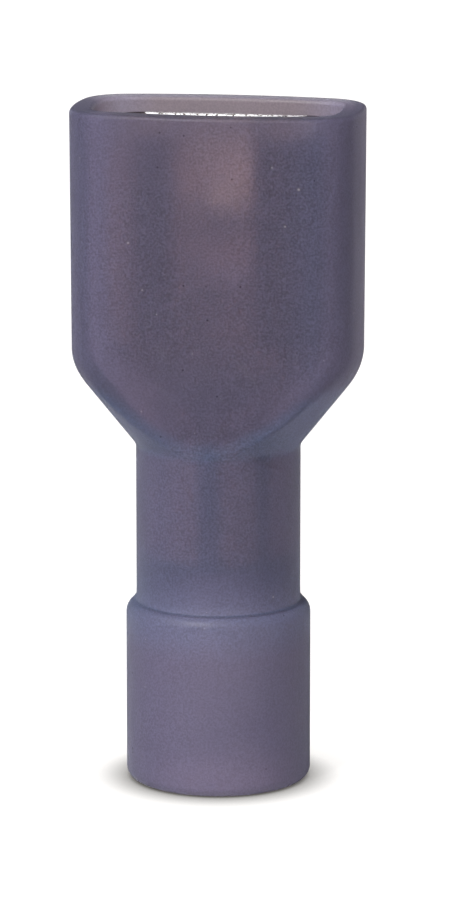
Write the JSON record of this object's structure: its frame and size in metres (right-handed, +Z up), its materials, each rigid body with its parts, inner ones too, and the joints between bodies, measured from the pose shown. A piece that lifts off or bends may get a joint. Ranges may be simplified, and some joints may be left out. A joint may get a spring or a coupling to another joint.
{
  "type": "female spade terminal",
  "caption": "Insulated push-on terminal: a folded metal receptacle for a flat blade, with a crimp barrel, inside a flared translucent housing with a wire entry collar.",
  "frame": {"origin": "centre of the open end of the wire entry collar, on the surface that the part stands on", "axes": "+Z up the terminal's axis from the wire entry to the mouth; X along the width of the blade; the receptacle's flat base on the +Y side and its curls on the -Y side"},
  "size_m": [0.0098, 0.0064, 0.0232],
  "materials": {
    "housing": "satin moulded nylon, translucent",
    "terminal": "bright tin plating"
  },
  "bodies": {
    "root": {"housing": "housing", "terminal": "terminal"}
  },
  "joints": []
}
